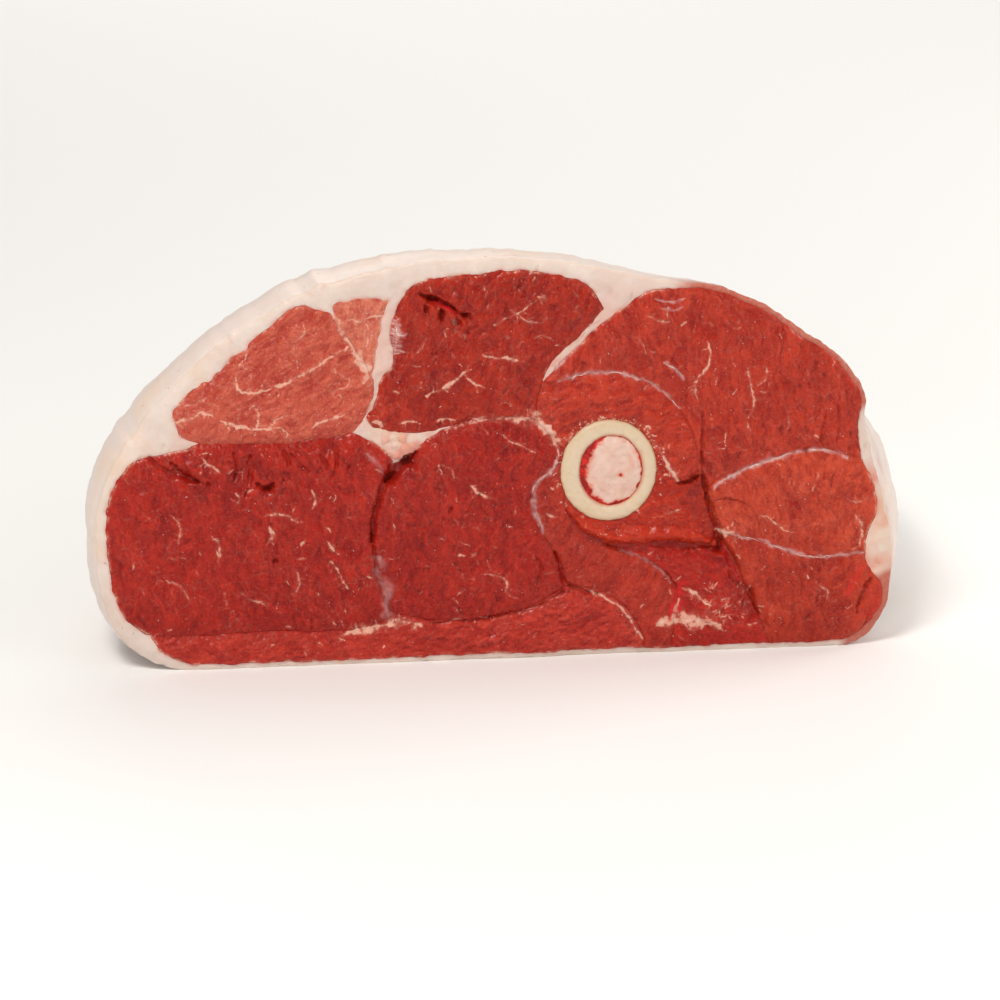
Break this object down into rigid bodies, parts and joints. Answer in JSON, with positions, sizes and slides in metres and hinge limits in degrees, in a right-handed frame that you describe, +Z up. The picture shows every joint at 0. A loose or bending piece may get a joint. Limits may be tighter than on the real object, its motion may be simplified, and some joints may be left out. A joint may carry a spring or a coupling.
{
  "type": "raw leg of lamb",
  "caption": "Raw bone-in half leg of lamb, a joint of meat with a flat cut face that shows its muscles, seam fat and round thigh bone, tapering back to the sawn shank.",
  "frame": {"origin": "middle of the underside of the box around the joint, on the surface that it lies on", "axes": "+X from the left to the right of the cut face, +Y from the cut face back to the shank end, +Z up from the flat underside"},
  "size_m": [0.224, 0.193, 0.1103],
  "materials": {
    "lean_meat": "moist raw red meat with fine grain and thin fat veins",
    "pale_lean_meat": "moist raw meat, paler and pinker",
    "lamb_fat": "smooth waxy cream fat with a pink tinge",
    "sawn_bone": "matt cream sawn bone",
    "bone_marrow": "soft moist pink marrow with a red rim"
  },
  "bodies": {
    "root": {"fat_cover": "lamb_fat", "eye_round": "pale_lean_meat", "eye_wedge": "pale_lean_meat", "outside_round": "lean_meat", "inside_round": "lean_meat", "inside_heart": "lean_meat", "inside_strip": "lean_meat", "knuckle": "lean_meat", "knuckle_crescent": "lean_meat", "bone_bed": "lean_meat", "knuckle_inner": "lean_meat", "knuckle_tail": "lean_meat", "front_upper": "lean_meat", "front_lower": "lean_meat", "femur": "sawn_bone", "marrow": "bone_marrow"}
  },
  "joints": []
}
